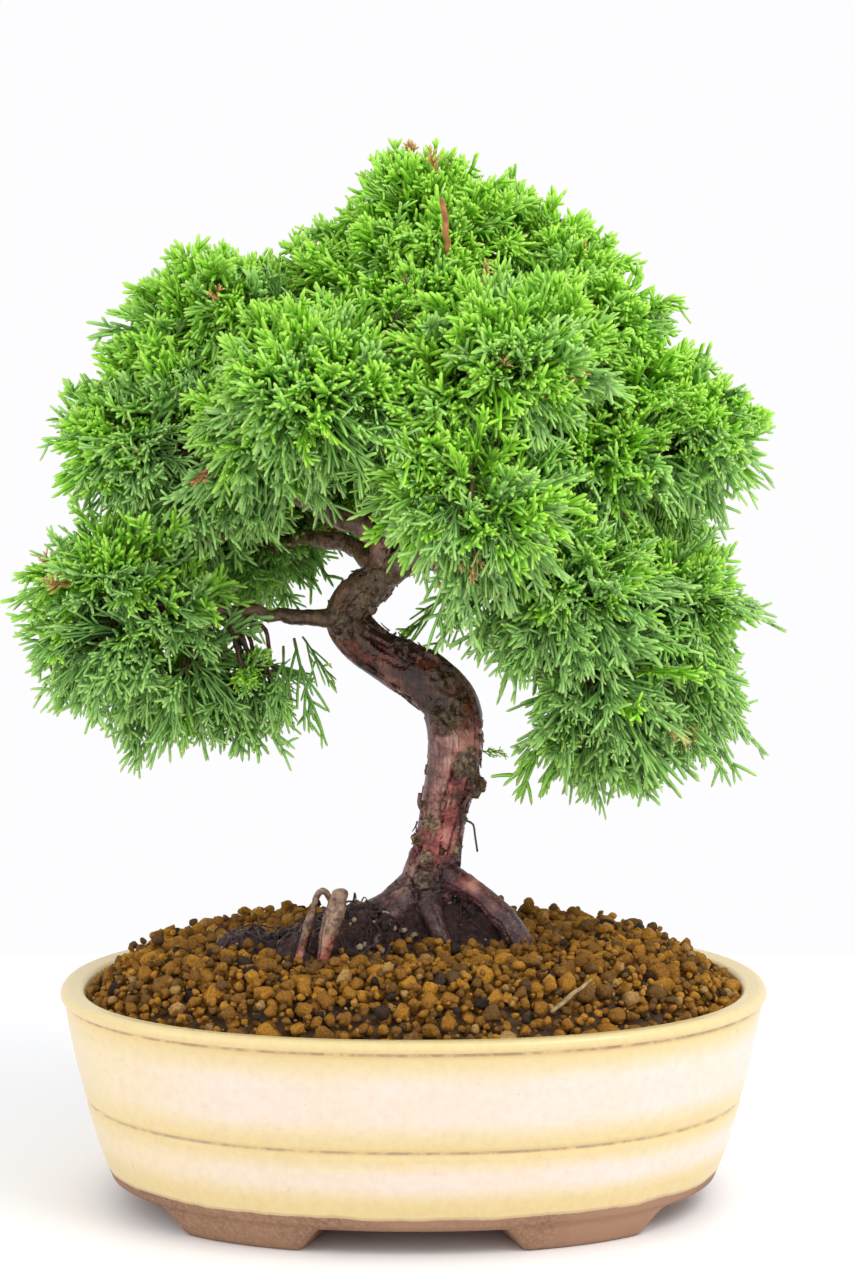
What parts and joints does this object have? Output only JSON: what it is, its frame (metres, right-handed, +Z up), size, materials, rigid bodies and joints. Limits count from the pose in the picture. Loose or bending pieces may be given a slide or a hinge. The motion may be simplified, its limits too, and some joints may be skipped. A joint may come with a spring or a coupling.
{
  "type": "potted juniper bonsai tree",
  "caption": "Bonsai conifer with an S-bent trunk and rounded masses of scale-leaved shoots, in a mound of granular soil in an oval footed ceramic pot.",
  "frame": {"origin": "middle of the whole tree's outline seen from above, on the surface that the pot's feet stand on; the pot's own middle is at x +5.7 mm, y -3.0 mm", "axes": "+Z up, +X to the right along the pot's length as seen from the front, +Y towards the back"},
  "size_m": [0.2144, 0.166, 0.2996],
  "materials": {
    "pot_ceramic": "gloss",
    "akadama": "matte",
    "peat_and_roots": "matte",
    "bark": "satin",
    "old_root": "matte",
    "juniper_shoots": "satin",
    "screen_plastic": "matte",
    "clip_wire": "satin",
    "dry_straw": "matte"
  },
  "bodies": {
    "root": {"pot": "pot_ceramic", "drainage_screen_left": "screen_plastic", "screen_clip_left": "clip_wire", "drainage_screen_right": "screen_plastic", "screen_clip_right": "clip_wire", "soil": "akadama", "root_ball": "peat_and_roots", "trunk": "bark", "root_stub": "old_root", "root_loop": "old_root", "root_knob": "old_root", "fallen_twig": "dry_straw", "branch_left_low": "bark", "branch_left_mid": "bark", "branch_right_low": "bark", "branch_right_outer": "bark", "branch_right_shoulder": "bark", "branch_front_low": "bark", "branch_front_left": "bark", "branch_front_right": "bark", "branch_top_left": "bark", "branch_top_right": "bark", "branch_back_left": "bark", "branch_back_right": "bark", "branch_back_mid": "bark", "branch_back_top_left": "bark", "branch_back_top_right": "bark", "foliage_front_left": "juniper_shoots", "foliage_front_right": "juniper_shoots", "foliage_front_low": "juniper_shoots", "foliage_right_low": "juniper_shoots", "foliage_left_low": "juniper_shoots", "foliage_crown": "juniper_shoots", "foliage_top_left": "juniper_shoots", "foliage_top_right": "juniper_shoots", "foliage_left_shoulder": "juniper_shoots", "foliage_right_shoulder": "juniper_shoots", "foliage_right_outer": "juniper_shoots", "foliage_back_left": "juniper_shoots", "foliage_back_right": "juniper_shoots", "foliage_back_mid": "juniper_shoots", "foliage_back_top_left": "juniper_shoots", "foliage_back_top_right": "juniper_shoots"}
  },
  "joints": []
}
